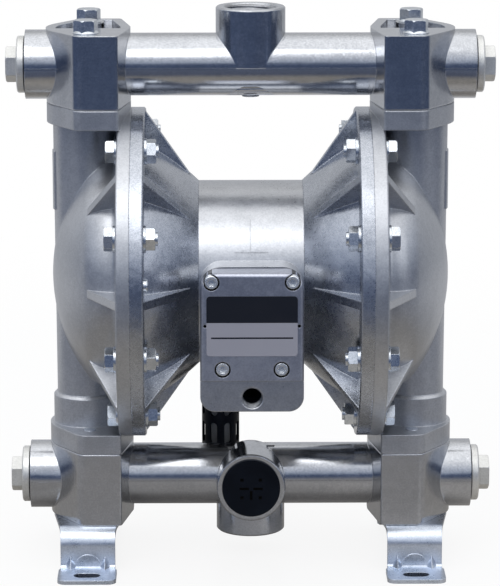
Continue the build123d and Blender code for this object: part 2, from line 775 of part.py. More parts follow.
# Domed plate that clamps the diaphragm on the fluid side, +X end
def outer_plate():
    face = seam_x + web_thickness / 2
    bore = shaft_radius + running_gap
    top = face + outer_plate_thickness
    bend = (face + crown_rise * outer_plate_thickness, 0, crown_radius * plate_radius)
    return turned(
        Line((face, 0, bore), (face, 0, plate_radius)),
        Line((face, 0, plate_radius), (face + plate_rim, 0, plate_radius)),
        ThreePointArc((face + plate_rim, 0, plate_radius), bend, (top, 0, plate_hub_radius)),
        Line((top, 0, plate_hub_radius), (top, 0, bore)),
        Line((top, 0, bore), (face, 0, bore)),
    )


# Nut on the shaft end, +X side
def shaft_end_nut():
    start = seam_x + web_thickness / 2 + outer_plate_thickness
    nut = hex_head(shaft_nut, shaft_nut_height)
    nut -= Cylinder(shaft_radius + running_gap, 4 * shaft_nut_height)
    return Pos(start, 0, 0) * Rot(0, 90, 0) * nut


# Diaphragm shaft
def shaft():
    reach = seam_x + web_thickness / 2 + outer_plate_thickness + shaft_nut_height + shaft_tip
    rod = rod_x(shaft_radius, -reach, reach)
    return chamfer(rod.edges().filter_by(GeomType.CIRCLE), rod_bevel)


# Bush and lip seal of the shaft at the +X end of the centre body
def shaft_bush():
    end = body_half_length - seal_length - running_gap
    return rod_x(bush_radius, end - bush_length, end) - rod_x(shaft_radius + running_gap, 0, body_half_length)


def shaft_seal():
    start = body_half_length - seal_length
    return rod_x(bush_radius, start, body_half_length) - rod_x(shaft_radius + running_gap, 0, seam_x)


# Pilot rod, pushed by the inner plates, and its flanged bush at the +X end
def pilot_rod():
    rod = rod_x(pilot_radius, -pilot_tip, pilot_tip, z=pilot_z)
    return chamfer(rod.edges().filter_by(GeomType.CIRCLE), rod_bevel)


def pilot_bush():
    start = body_half_length - pilot_bush_length
    end = body_half_length + end_wall
    bush = rod_x(pilot_bush_radius, start, end, z=pilot_z)
    return bush - rod_x(pilot_radius + running_gap, start - 1, end + 1, z=pilot_z)


# Chamber bolt, nut and washers at one place of the bolt circle, +X side
def chamber_bolt():
    grip = 2 * flange_thickness + 2 * washer_thickness
    shank = grip + chamber_nut_height + chamber_tip
    seat = fluid_face_x + washer_thickness
    head = Pos(seat, 0, 0) * Rot(0, 90, 0) * hex_head(chamber_hex, chamber_head_height)
    return head + rod_x(chamber_bolt_radius, seat - shank, seat + 1)


def chamber_nut():
    nut = hex_head(chamber_hex, chamber_nut_height, hex_turn)
    nut -= Cylinder(chamber_bolt_radius + running_gap, 4 * chamber_nut_height)
    return Pos(air_face_x - washer_thickness, 0, 0) * Rot(0, -90, 0) * nut


def chamber_washers():
    washer = rod_x(washer_radius, 0, washer_thickness)
    washer -= rod_x(chamber_bolt_radius + running_gap, -1, washer_thickness + 1)
    return [Pos(fluid_face_x, 0, 0) * washer, Pos(air_face_x - washer_thickness, 0, 0) * washer]


# Flange head bolt of a manifold, head upwards at z = 0
def flange_bolt(shank):
    slope = manifold_bolt_flange_height - manifold_bolt_rim
    bolt = post(manifold_bolt_flange, manifold_bolt_flange_height, slope)
    bolt += hex_head(manifold_bolt_hex, manifold_bolt_head, hex_turn)
    return bolt + rod_z(manifold_bolt_radius, -shank, 0)


# The four bolts of one manifold, with their heads up, resting at height z
def manifold_bolts(z):
    shank = z - joint_height + port_flange_thickness + manifold_bolt_tip
    places = [(x, y) for x in (-manifold_bolt_x, manifold_bolt_x) for y in (-manifold_bolt_y, manifold_bolt_y)]
    return [Pos(x, y, z) * flange_bolt(shank) for x, y in places]


# Stub plug on the +X end of a manifold pipe
def stub_plug():
    start = stub_end_x + plug_ring_thickness
    flange_end = start + plug_flange_thickness
    plug = rod_x(plug_flange_radius, start, flange_end)
    plug = chamfer(plug.edges().sort_by(Axis.X)[-1], plug_bevel)
    plug += Pos(flange_end, 0, 0) * Rot(0, 90, 0) * hex_head(plug_hex, plug_hex_height)
    plug += rod_x(plug_thread_radius - running_gap, stub_end_x - plug_thread_length, start + 1)
    return plug


def plug_ring():
    ring = rod_x(plug_flange_radius - plug_bevel, stub_end_x, stub_end_x + plug_ring_thickness)
    return ring - rod_x(plug_thread_radius + running_gap, 0, 2 * stub_end_x)


# A piece at both ends of both manifolds
def at_stub_ends(piece):
    ends = [piece, mirror(piece, Plane.YZ)]
    return [Pos(0, 0, z) * end for z in (-pipe_height, pipe_height) for end in ends]


# Foot bracket under the bottom block on the +X side
def foot():
    top = -block_end
    floor = floor_z
    inside = foot_web_y - foot_plate
    side = [
        (-foot_front_y, floor), (-foot_front_y, floor + foot_plate), (-foot_web_y, floor + foot_plate),
        (-foot_web_y, top), (foot_web_y, top), (foot_web_y, floor + foot_plate),
        (foot_front_y, floor + foot_plate), (foot_front_y, floor), (inside, floor),
        (inside, top - foot_plate), (-inside, top - foot_plate), (-inside, floor),
    ]
    profile = make_face(Polyline(*side, close=True))
    high = [v for v in profile.vertices() if abs(v.Y - top) < 0.01]
    profile = fillet(high, foot_bend)
    under = [v for v in profile.vertices() if abs(v.Y - top + foot_plate) < 0.01]
    profile = fillet(under, foot_bend - foot_plate)
    heel = [v for v in profile.vertices() if abs(v.Y - floor) < 0.01 and abs(abs(v.X) - inside) < 0.01]
    profile = fillet(heel, 2 * foot_plate)
    toe = [v for v in profile.vertices()
           if abs(v.Y - floor - foot_plate) < 0.01 and abs(abs(v.X) - foot_web_y) < 0.01]
    profile = fillet(toe, foot_plate)
    bracket = extrude(Plane.YZ * profile, foot_bracket_width, both=True)
    bracket = Pos(foot_x, 0, 0) * bracket
    bracket &= Pos(0, 0, floor - 1) * extrude(foot_plan(), shaft_height)
    for y in (-foot_slot_y, foot_slot_y):
        slot = extrude(SlotOverall(foot_slot_length, 2 * foot_slot_radius), 4 * foot_plate, both=True)
        bracket -= Pos(foot_x, y, floor) * slot
    for y in (-manifold_bolt_y, manifold_bolt_y):
        bracket -= rod_z(manifold_hole, top - 2 * foot_plate, top + 1, manifold_bolt_x, y)
    pressed = [Pos(x, 0, 0) * foot_dart() for x in (-foot_dart_x, foot_dart_x)] + [foot_pad()]
    for piece in pressed:
        bracket += Pos(foot_x, 0, 0) * piece
        bracket += Pos(foot_x, 0, 0) * mirror(piece, Plane.XZ)
    return bracket


# Outline of the bracket from above: wide under the block, necked at the webs
def foot_plan():
    wide = foot_bracket_width / 2
    neck = foot_neck / 2
    toe = foot_width / 2
    neck_y = foot_web_y - foot_bend / 3
    half = [
        (wide, foot_flat), (neck, neck_y), (neck, foot_web_y + foot_plate),
        (toe, foot_web_y + 2 * foot_plate), (toe, foot_front_y),
    ]
    right = half + [(-x, y) for x, y in reversed(half)]
    corners = right + [(-x, -y) for x, y in right]
    outline = make_face(Polyline(*corners, close=True))
    ends = [v for v in outline.vertices() if abs(abs(v.Y) - foot_front_y) < 0.01]
    return Pos(foot_x, 0) * fillet(ends, foot_corner_round)


# Pressed dart that stiffens the bend of a foot
def foot_dart():
    base = floor_z + foot_plate
    face_y = -foot_web_y
    triangle = make_face(Polyline(
        (-foot_dart_width / 2, face_y + foot_dart_sink, base - foot_dart_sink),
        (foot_dart_width / 2, face_y + foot_dart_sink, base - foot_dart_sink),
        (0, face_y + foot_dart_sink, base + foot_dart_height),
        close=True))
    tip = Vertex(0, face_y - foot_dart_reach, base - foot_dart_sink)
    return loft([triangle, tip])


# Pressed half round between the darts of a foot
def foot_pad():
    base = floor_z + foot_plate
    face_y = -foot_web_y
    pad = rod_y(foot_pad_radius, face_y - foot_pad_proud, face_y + foot_dart_sink, z=base)
    low = (-foot_pad_radius, face_y - foot_pad_proud, base - foot_dart_sink)
    return pad & block(low, (foot_pad_radius, face_y + foot_dart_sink, base + foot_pad_radius))


# Push-in cap of the front port
def port_cap():
    cap = rod_y(port_cap_radius, -boss_reach - port_cap_thickness, -boss_reach)
    cap = chamfer(cap.edges().sort_by(Axis.Y)[0], port_cap_thickness / 4)
    shank_radius = port_thread_radius - assembly_gap
    cap += rod_y(shank_radius, -boss_reach - 1, -boss_reach + port_cap_shank)
    cap -= rod_y(shank_radius - port_cap_wall, -boss_reach, -boss_reach + port_cap_shank + 1)
    front = -boss_reach - port_cap_thickness
    half = port_cap_mark_width / 2
    span = port_cap_mark_span / 2
    depth = front + port_cap_mark_depth
    for low, high in (((-span, -half), (-half * 2, half)), ((half * 2, -half), (span, half)),
                      ((-half, -span), (half, -half * 2))):
        cap -= block((low[0], front - 1, low[1]), (high[0], depth, high[1]))
    for x in (-port_cap_dot_offset, port_cap_dot_offset):
        for z in (-port_cap_dot_offset, port_cap_dot_offset):
            cap -= block((x - half, front - 1, z - half), (x + half, depth, z + half))
    return Pos(0, 0, -pipe_height) * cap


# Muffler cage with its slots, neck and closed lower end
def muffler():
    top = exhaust_boss_z
    low = top - muffler_length
    cage = rod_z(muffler_radius, low, top)
    cage = chamfer(cage.edges().sort_by(Axis.Z)[0], muffler_wall)
    cage += rod_z(muffler_neck_radius, top - 1, top + muffler_neck_length)
    cage -= rod_z(muffler_radius - muffler_wall, low + muffler_wall, top - 2 * muffler_wall)
    cage -= rod_z(passage_radius, top - muffler_length / 2, top + muffler_neck_length + 1)
    face = SlotOverall(muffler_slot_length, muffler_slot_width, rotation=90)
    slot = Plane.XZ * face
    for row in range(muffler_slot_rows):
        z = top - muffler_slot_first - row * muffler_slot_pitch
        cut = Pos(0, 0, z) * extrude(slot, 2 * muffler_radius)
        for column in range(muffler_slot_columns):
            cage -= Rot(0, 0, 360 * (column + 0.5) / muffler_slot_columns) * cut
    return Pos(muffler_x, muffler_y, 0) * cage


# Filter element inside the muffler
def muffler_element():
    top = exhaust_boss_z - 2 * muffler_wall - assembly_gap
    low = exhaust_boss_z - muffler_length + muffler_wall + assembly_gap
    outer = muffler_radius - muffler_wall - assembly_gap
    tube = rod_z(outer, low, top, muffler_x, muffler_y)
    return tube - rod_z(passage_radius, low + muffler_wall, top + 1, muffler_x, muffler_y)


# Small pan head screw that takes an earth wire
def earth_screw():
    head = rod_x(earth_screw_head, 0, earth_screw_head_height)
    head = fillet(head.edges().sort_by(Axis.X)[-1], earth_screw_head_height / 2)
    return head + rod_x(earth_screw_radius, -earth_screw_bite, 1)


# The same piece at both ends of the pump
def both_ends(piece):
    return {"right": piece, "left": Rot(0, 0, 180) * piece}


nodes = {}

nodes["center_body"] = center_body()
for side, piece in both_ends(fluid_chamber()).items():
    nodes[f"fluid_chamber_{side}"] = piece
for side, piece in both_ends(air_chamber()).items():
    nodes[f"air_chamber_{side}"] = piece
earth_thread = rod_x(earth_screw_radius + running_gap, -earth_screw_bite - running_gap, 1)
nodes["air_chamber_left"] -= at_earth_screw(earth_thread)
nodes["earth_screw"] = at_earth_screw(earth_screw())

nodes["top_manifold"] = manifold("outlet", front_port=False)
nodes["bottom_manifold"] = mirror(manifold("inlet", front_port=True), Plane.XY)
nodes["manifold_plugs"] = Compound(at_stub_ends(stub_plug()))
nodes["plug_rings"] = Compound(at_stub_ends(plug_ring()))
nodes["top_manifold_bolts"] = Compound(manifold_bolts(block_end))
lower = manifold_bolts(block_end + foot_plate)
nodes["bottom_manifold_bolts"] = Compound([mirror(bolt, Plane.XY) for bolt in lower])
for side, piece in both_ends(foot()).items():
    nodes[f"foot_{side}"] = piece
nodes["port_cap"] = port_cap()

nodes["valve_cover"] = valve_cover()
nodes["cover_gasket"] = cover_gasket()
nodes["cover_screws"] = Compound([Pos(x, 0, z) * cover_screw() for x, z in cover_screw_places()])
nodes["label_plate"] = label_plate()
valve_block, valve_end_plates, valve_spool = valve_pieces()
nodes["valve_block"] = valve_block
nodes["valve_end_plates"] = Compound(valve_end_plates)
nodes["valve_spool"] = valve_spool
nodes["muffler"] = muffler()
nodes["muffler_element"] = muffler_element()

for name, pieces in (("chamber_bolts", [chamber_bolt()]), ("chamber_nuts", [chamber_nut()]),
                     ("chamber_washers", chamber_washers())):
    ring = [copy for piece in pieces for copy in at_bolts(piece)]
    nodes[name] = Compound([Rot(0, 0, turn) * piece for turn in (0, 180) for piece in ring])

for side, piece in both_ends(diaphragm()).items():
    nodes[f"diaphragm_{side}"] = piece
for side, piece in both_ends(inner_plate()).items():
    nodes[f"inner_plate_{side}"] = piece
for side, piece in both_ends(outer_plate()).items():
    nodes[f"outer_plate_{side}"] = piece
nodes["shaft"] = shaft()
nodes["shaft_nuts"] = Compound(list(both_ends(shaft_end_nut()).values()))
nodes["shaft_bushes"] = Compound(list(both_ends(shaft_bush()).values()))
nodes["shaft_seals"] = Compound(list(both_ends(shaft_seal()).values()))
nodes["pilot_rod"] = pilot_rod()
nodes["pilot_bushes"] = Compound([pilot_bush(), mirror(pilot_bush(), Plane.YZ)])

for level, z in (("outlet", joint_height), ("inlet", -joint_height)):
    ball = Pos(column_x, 0, z + ball_rise) * Sphere(ball_radius)
    for side, piece in both_ends(ball).items():
        nodes[f"{level}_ball_{side}"] = piece
    nodes[f"{level}_seats"] = Compound(list(both_ends(ball_seat(z)).values()))
    nodes[f"{level}_seat_rings"] = Compound(list(both_ends(seat_ring(z)).values()))

os.makedirs("parts", exist_ok=True)
for name, solid in nodes.items():
    export_step(Pos(0, 0, shaft_height) * solid, f"parts/{name}.step")
print(len(nodes), "nodes written")
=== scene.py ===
import json
import math
import bmesh
import bpy
import numpy as np
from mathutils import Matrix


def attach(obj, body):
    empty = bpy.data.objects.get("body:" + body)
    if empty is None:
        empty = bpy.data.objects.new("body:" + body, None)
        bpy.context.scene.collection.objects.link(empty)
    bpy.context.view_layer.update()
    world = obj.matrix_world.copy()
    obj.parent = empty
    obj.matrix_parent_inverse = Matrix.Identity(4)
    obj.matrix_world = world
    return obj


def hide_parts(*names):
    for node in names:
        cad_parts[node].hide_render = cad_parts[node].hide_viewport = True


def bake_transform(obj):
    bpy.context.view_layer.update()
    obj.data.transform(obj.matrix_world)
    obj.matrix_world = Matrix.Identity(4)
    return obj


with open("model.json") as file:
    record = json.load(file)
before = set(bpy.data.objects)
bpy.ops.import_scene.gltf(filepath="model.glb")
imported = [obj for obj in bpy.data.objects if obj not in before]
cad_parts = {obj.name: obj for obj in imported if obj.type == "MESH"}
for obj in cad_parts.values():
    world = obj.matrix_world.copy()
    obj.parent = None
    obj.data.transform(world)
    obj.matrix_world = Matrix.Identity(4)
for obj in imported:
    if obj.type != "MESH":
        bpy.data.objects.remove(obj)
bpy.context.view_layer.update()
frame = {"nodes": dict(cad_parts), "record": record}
nodes = frame["nodes"]
print("frame loaded:", len(nodes), "nodes")


# A shader value. Its operators add Math nodes, so sums are written as plain expressions.
class Signal:
    def __init__(self, sheet, socket):
        self.sheet = sheet
        self.socket = socket

    def math(self, operation, first, second, clamp=False):
        settings = {"operation": operation, "use_clamp": clamp}
        return self.sheet.add("ShaderNodeMath", settings, {0: first, 1: second})

    def __add__(self, other):
        return self.math("ADD", self, other)

    def __radd__(self, other):
        return self.math("ADD", other, self)

    def __sub__(self, other):
        return self.math("SUBTRACT", self, other)

    def __rsub__(self, other):
        return self.math("SUBTRACT", other, self)

    def __mul__(self, other):
        return self.math("MULTIPLY", self, other)

    def __rmul__(self, other):
        return self.math("MULTIPLY", other, self)

    def __pow__(self, other):
        return self.math("POWER", self, other)

    def __gt__(self, other):
        return self.math("GREATER_THAN", self, other)

    def __lt__(self, other):
        return self.math("LESS_THAN", self, other)

    def __abs__(self):
        return self.math("ABSOLUTE", self, 0.0)

    def clamped(self):
        return self.math("ADD", self, 0.0, clamp=True)

    def wave(self):
        return self.math("SINE", self, 0.0)


# The node tree of one material or of the world
class Sheet:
    def __init__(self, owner):
        owner.use_nodes = True
        self.tree = owner.node_tree
        self.tree.nodes.clear()

    def add(self, kind, settings=None, inputs=None, output=0):
        made = self.tree.nodes.new(kind)
        for key, value in (settings or {}).items():
            if key == "stops":
                elements = made.color_ramp.elements
                elements[0].position, elements[0].color = value[0]
                elements[1].position, elements[1].color = value[-1]
                for place, colour in value[1:-1]:
                    elements.new(place).color = colour
            else:
                setattr(made, key, value)
        for key, value in (inputs or {}).items():
            if isinstance(value, Signal):
                self.tree.links.new(value.socket, made.inputs[key])
            else:
                made.inputs[key].default_value = value
        return Signal(self, made.outputs[output]) if made.outputs else None

    def place(self, stretch=(1.0, 1.0, 1.0)):
        spot = self.add("ShaderNodeTexCoord", output="Object")
        return self.add("ShaderNodeMapping", inputs={"Vector": spot, "Scale": stretch})

    def axes(self):
        spot = self.add("ShaderNodeTexCoord", output="Object")
        return [self.add("ShaderNodeSeparateXYZ", inputs={0: spot}, output=k) for k in range(3)]

    def noise(self, where, scale, detail=2.0, rough=0.5):
        sizes = {"Vector": where, "Scale": scale, "Detail": detail, "Roughness": rough}
        return self.add("ShaderNodeTexNoise", inputs=sizes)

    def between(self, value, low, high):
        sizes = {"Value": value, "From Min": low, "From Max": high}
        return self.add("ShaderNodeMapRange", {"interpolation_type": "SMOOTHSTEP"}, sizes)

    def mixed(self, share, first, second):
        return self.add("ShaderNodeMix", {"data_type": "RGBA"}, {0: share, 6: first, 7: second}, output=2)

    def bump(self, height, strength, distance, normal):
        sizes = {"Height": height, "Strength": strength, "Distance": distance, "Normal": normal}
        return self.add("ShaderNodeBump", inputs=sizes)

    def turn(self, first, second):
        return self.add("ShaderNodeMath", {"operation": "ARCTAN2"}, {0: first, 1: second})

    def rounded(self, radius):
        return self.add("ShaderNodeBevel", {"samples": 6}, {"Radius": radius})

    def shade(self, **inputs):
        sockets = {name.replace("_", " "): value for name, value in inputs.items()}
        shader = self.add("ShaderNodeBsdfPrincipled", inputs=sockets)
        self.add("ShaderNodeOutputMaterial", inputs={"Surface": shader})


def newMaterial(name):
    material = bpy.data.materials.new(name)
    return material, Sheet(material)


def grey(value, blue=0.0):
    return (value - blue / 2, value, value + blue, 1.0)


# Shares of the four patterns in a metal's tone
toneShares = {"clouds": 0.25, "mottle": 0.2, "streaks": 0.15, "grain": 0.4}


# Cast or machined metal: cloudy tone, mottled gloss, fine grain and softened edges.
# marks adds a height of its own, in steps of the look's markHeight. The last argument is the share of painted
# shade, in the look's near-black shade colour.
def metal(name, look, marks=None, paintedShade=None):
    material, sheet = newMaterial(name)
    where = sheet.place()
    clouds = sheet.noise(where, look["cloudScale"], 3.0, 0.55)
    mottle = sheet.noise(where, look["mottleScale"], 3.0, 0.6)
    grain = sheet.noise(where, look["grainScale"], 2.0, 0.6)
    streaks = sheet.noise(sheet.place(look["streak"]), look["streakScale"], 3.0, 0.6)
    tone = clouds * toneShares["clouds"] + mottle * toneShares["mottle"]
    tone = tone + streaks * toneShares["streaks"] + grain * toneShares["grain"]
    gloss = look["rough"] + (clouds - 0.5) * look["roughSpread"] + (mottle - 0.5) * look["roughSpread"]
    relief = sheet.rounded(look["edge"])
    relief = sheet.bump(clouds, look["waveDepth"], look["waveHeight"], relief)
    relief = sheet.bump(mottle, look["waveDepth"], look["mottleHeight"], relief)
    relief = sheet.bump(grain, look["grainDepth"], look["grainHeight"], relief)
    if marks:
        relief = sheet.bump(marks(sheet), 1.0, look["markHeight"], relief)
    colour = sheet.mixed(sheet.between(tone, *look["tone"]), look["dark"], look["light"])
    if paintedShade:
        colour = sheet.mixed(paintedShade(sheet), colour, look["paintedShade"])
    sheet.shade(
        Base_Color=colour,
        Metallic=look["metal"],
        Roughness=(gloss + (grain - 0.5) * look["roughGrain"]).clamped(),
        Normal=relief,
    )
    return material


# Height of a flat box mark, from its middle and half sizes along two axes
def boxMark(first, second, look):
    inFirst = abs(first - look["middle"][0]) < look["half"][0]
    return inFirst * (abs(second - look["middle"][1]) < look["half"][1])


bodyMarks = {
    "ridge": {"middle": (-0.0006, 0.2085), "half": (0.00025, 0.0090)},
    "foot": {"middle": (0.0, 0.1996), "half": (0.0100, 0.00025)},
    "frame": {"middle": (0.0, 0.1231), "half": (0.0166, 0.0044), "rise": 0.7},
    "inlet": {"radius": 0.0064, "height": 0.1183, "pitch": 0.00141, "rise": 0.8, "deep": (-0.0780, -0.0725)},
    "lineDark": 0.18,
}


# Distance of a point from a middle, along two axes
def distance(first, second, middle):
    over, up = first - middle[0], second - middle[1]
    return (over * over + up * up) ** 0.5


# Height of a thread: it rises once a pitch along its axis and once a turn round it
def threadHeight(sheet, along, pitch, first, second):
    return (along * (2 * math.pi / pitch) + sheet.turn(first, second)).wave()


# Casting lines of the centre body and the thread of its air inlet
def bodyHeight(sheet):
    x, y, z = sheet.axes()
    inlet = bodyMarks["inlet"]
    raised = boxMark(x, z, bodyMarks["ridge"]) + boxMark(x, z, bodyMarks["foot"])
    raised = raised + boxMark(x, z, bodyMarks["frame"]) * bodyMarks["frame"]["rise"]
    far = distance(x, z, (0.0, inlet["height"]))
    turns = threadHeight(sheet, y, inlet["pitch"], x, z - inlet["height"])
    return raised + (far < inlet["radius"]) * (turns * inlet["rise"])


# Painted shade deep in the air inlet behind its first threads, and the casting line made a little darker
def bodyPaintedShade(sheet):
    x, y, z = sheet.axes()
    inlet = bodyMarks["inlet"]
    line = (boxMark(x, z, bodyMarks["ridge"]) + boxMark(x, z, bodyMarks["foot"])).clamped() * (y < 0.0)
    far = distance(x, z, (0.0, inlet["height"]))
    return ((far < inlet["radius"]) * sheet.between(y, *inlet["deep"]) + line * bodyMarks["lineDark"]).clamped()


coverMarks = {
    "inner": 0.0041, "outer": 0.0048, "pin": (0.0279, 0.1623), "pinRadius": 0.0010,
    "screws": ((0.0240, 0.1885), (0.0175, 0.1358)),
}


# Painted shade in the gaps round the four cover screws, and two pins beside the label drawn dark
def coverGapShade(sheet):
    x, _, z = sheet.axes()
    gaps = distance(abs(x), z, coverMarks["pin"]) < coverMarks["pinRadius"]
    for middle in coverMarks["screws"]:
        far = distance(abs(x), z, middle)
        gaps = gaps + (far < coverMarks["outer"]) * (far > coverMarks["inner"])
    return gaps.clamped()


pipeMarks = {
    "heights": (0.04895, 0.30605), "line": 0.00022, "reach": (0.0150, 0.0225),
    "port": 0.0156, "pitch": 0.0022,
}


# Parting line along the pipes and the thread of the upright ports
def pipeHeight(sheet):
    x, y, z = sheet.axes()
    low, high = pipeMarks["heights"]
    line = (abs(z - low) < pipeMarks["line"]) + (abs(z - high) < pipeMarks["line"])
    line = line * (abs(y) > pipeMarks["reach"][0]) * (abs(y) < pipeMarks["reach"][1])
    turns = threadHeight(sheet, z, pipeMarks["pitch"], x, y)
    return line + (distance(x, y, (0.0, 0.0)) < pipeMarks["port"]) * turns


# Each look's last colour is the near-black colour of painted shade.
castLook = {
    "dark": (0.445, 0.46, 0.49, 1.0), "light": (0.565, 0.58, 0.612, 1.0), "tone": (0.38, 0.62),
    "metal": 1.0, "rough": 0.34, "roughSpread": 0.12, "roughGrain": 0.10,
    "cloudScale": 30.0, "mottleScale": 260.0, "grainScale": 950.0,
    "streak": (1.0, 1.0, 0.35), "streakScale": 60.0,
    "edge": 0.0009, "waveDepth": 0.5, "waveHeight": 0.0005, "mottleHeight": 0.00006,
    "grainDepth": 0.28, "grainHeight": 0.00006, "markHeight": 0.0006, "paintedShade": (0.004, 0.005, 0.008, 1.0),
}
domeLook = dict(castLook, rough=0.38, metal=0.90, grainDepth=0.34, waveHeight=0.0009)
coneLook = dict(
    castLook, dark=(0.37, 0.395, 0.44, 1.0), light=(0.53, 0.555, 0.61, 1.0), rough=0.27, cloudScale=26.0,
    waveHeight=0.0016, mottleHeight=0.0001, grainDepth=0.3)
pipeLook = dict(
    castLook, rough=0.17, roughSpread=0.08, roughGrain=0.08, streak=(0.15, 1.0, 1.0), streakScale=150.0,
    waveHeight=0.00018, mottleHeight=0.00005, grainDepth=0.18)
bodyLook = dict(
    castLook, rough=0.31, streak=(0.5, 1.0, 1.0), streakScale=160.0, edge=0.0007, waveHeight=0.00035,
    mottleHeight=0.00013, grainDepth=0.35)
coverLook = dict(
    castLook, dark=(0.41, 0.43, 0.50, 1.0), light=(0.53, 0.555, 0.63, 1.0), rough=0.38, grainDepth=0.38,
    waveHeight=0.0002)
screwLook = dict(
    castLook, dark=(0.74, 0.77, 0.80, 1.0), light=(0.92, 0.94, 0.96, 1.0), rough=0.26, metal=0.88,
    cloudScale=300.0)
zincSheetLook = dict(
    castLook, dark=(0.60, 0.66, 0.75, 1.0), light=(0.78, 0.83, 0.92, 1.0), rough=0.30, cloudScale=45.0,
    grainDepth=0.06, streak=(0.2, 1.0, 1.0), streakScale=300.0, edge=0.0005, waveHeight=0.0003)
zincLook = dict(
    castLook, dark=(0.56, 0.60, 0.65, 1.0), light=(0.76, 0.79, 0.83, 1.0), rough=0.22, cloudScale=160.0,
    grainDepth=0.04, edge=0.0004, waveHeight=0.0001)
plugLook = dict(
    castLook, dark=(0.67, 0.67, 0.65, 1.0), light=(0.80, 0.80, 0.78, 1.0), rough=0.33, metal=0.6,
    cloudScale=120.0, grainDepth=0.05, edge=0.0006, waveHeight=0.0001)
turnedLook = dict(castLook, rough=0.26, grainDepth=0.05, waveHeight=0.0001, cloudScale=90.0)
steelLook = dict(castLook, dark=grey(0.50), light=grey(0.58), rough=0.18, grainDepth=0.03, waveHeight=0.00005)
bronzeLook = dict(
    castLook, dark=(0.50, 0.33, 0.15, 1.0), light=(0.62, 0.43, 0.22, 1.0), rough=0.3, waveHeight=0.0001)


# Plastic, rubber or felt: one colour with cloudy tone and a fine moulded grain. The last argument is the
# share made black as painted shade.
def moulded(name, look, paintedShade=None):
    material, sheet = newMaterial(name)
    where = sheet.place()
    clouds = sheet.noise(where, look["cloudScale"], 3.0, 0.5)
    grain = sheet.noise(where, look["grainScale"], 2.0, 0.6)
    relief = sheet.bump(grain, look["grainDepth"], look["grainHeight"], sheet.rounded(look["edge"]))
    colour = sheet.mixed(sheet.between(clouds, *look["tone"]), look["dark"], look["light"])
    if paintedShade:
        colour = sheet.mixed(paintedShade(sheet), colour, grey(0.0))
    gloss = look["rough"] + (clouds - 0.5) * look["roughSpread"] + (grain - 0.5) * look["roughSpread"]
    sheet.shade(
        Base_Color=colour,
        Roughness=gloss.clamped(),
        Normal=relief,
        Specular_IOR_Level=look["gleam"],
    )
    return material


blackLook = {
    "dark": (0.006, 0.008, 0.014, 1.0), "light": (0.012, 0.015, 0.024, 1.0), "tone": (0.3, 0.7),
    "rough": 0.42, "roughSpread": 0.2, "gleam": 0.15, "cloudScale": 60.0,
    "grainScale": 2500.0, "grainDepth": 0.15, "grainHeight": 0.00004, "edge": 0.0004,
}
capLook = dict(blackLook, dark=(0.004, 0.006, 0.011, 1.0), light=(0.006, 0.009, 0.016, 1.0), gleam=0.1)
capMarks = {
    "height": 0.04895, "dot": {"middle": (0.0056, 0.0056), "half": (0.0010, 0.0010)},
    "arm": {"middle": (0.0042, 0.0), "half": (0.0029, 0.0008)},
    "stem": {"middle": (0.0, -0.0042), "half": (0.0008, 0.0029)},
}


# Painted shade in the hollows of the port cap: four square holes, two arms and a stem
def capHollowShade(sheet):
    x, _, z = sheet.axes()
    up = z - capMarks["height"]
    hollowShade = boxMark(abs(x), abs(up), capMarks["dot"]) + boxMark(abs(x), up, capMarks["arm"])
    return (hollowShade + boxMark(x, up, capMarks["stem"])).clamped()


rubberLook = dict(blackLook, dark=grey(0.012), light=grey(0.025), rough=0.62)
whiteLook = dict(blackLook, dark=grey(0.70), light=grey(0.78), rough=0.35)
feltLook = dict(
    blackLook, dark=grey(0.22), light=grey(0.36), rough=0.9, grainScale=1800.0, grainHeight=0.0003)


# Bare printed plate: dark field above, grey field below with one thin rule across it
labelLook = {
    "split": 0.1644, "rule": {"middle": (0.0, 0.1552), "half": (0.0243, 0.0005)},
    "soft": 0.0001, "dark": (0.005, 0.007, 0.014, 1.0), "grey": (0.48, 0.48, 0.54, 1.0), "metal": 0.35,
    "rough": 0.38, "roughSpread": 0.15, "cloudScale": 90.0,
    "grainScale": 1400.0, "grainDepth": 0.12, "grainHeight": 0.00003, "edge": 0.0003,
}


def printed(name, look):
    material, sheet = newMaterial(name)
    spot = sheet.add("ShaderNodeTexCoord", output="Object")
    x, _, z = sheet.axes()
    grain = sheet.noise(spot, look["grainScale"], 2.0, 0.6)
    clouds = sheet.noise(spot, look["cloudScale"])
    field = sheet.between(z, look["split"] - look["soft"], look["split"] + look["soft"])
    inked = (field + boxMark(x, z, look["rule"])).clamped()
    relief = sheet.bump(grain, look["grainDepth"], look["grainHeight"], sheet.rounded(look["edge"]))
    sheet.shade(
        Base_Color=sheet.mixed(inked, look["grey"], look["dark"]),
        Metallic=(1.0 - inked) * look["metal"],
        Roughness=(look["rough"] + (clouds - 0.5) * look["roughSpread"]).clamped(),
        Normal=relief,
    )
    return material


finishes = {
    "cast_aluminium": metal("castAluminium", castLook),
    "zinc_sheet": metal("zincSheet", zincSheetLook),
    "zinc_fastener": metal("zincFastener", zincLook),
    "plug_metal": metal("plugMetal", plugLook),
    "turned_aluminium": metal("turnedAluminium", turnedLook),
    "stainless": metal("groundSteel", steelLook),
    "bronze": metal("bushBronze", bronzeLook),
    "rubber": moulded("sealRubber", rubberLook),
    "white_plastic": moulded("ballPlastic", whiteLook),
    "black_plastic": moulded("blackPlastic", blackLook),
    "filter_felt": moulded("filterFelt", feltLook),
    "label_metal": printed("labelPlate", labelLook),
}
special = {
    "center_body": metal("tumbledBody", bodyLook, bodyHeight, bodyPaintedShade),
    "fluid_chamber_left": metal("blastedDome", domeLook),
    "air_chamber_left": metal("castCone", coneLook),
    "top_manifold": metal("topPipe", pipeLook, pipeHeight),
    "bottom_manifold": metal("bottomPipe", pipeLook, pipeHeight),
    "valve_cover": metal("satinCover", coverLook, None, coverGapShade),
    "cover_screws": metal("brightScrew", screwLook),
    "port_cap": moulded("portCap", capLook, capHollowShade),
}
special["fluid_chamber_right"] = special["fluid_chamber_left"]
special["air_chamber_right"] = special["air_chamber_left"]
print("materials made:", len(finishes) + len(special))

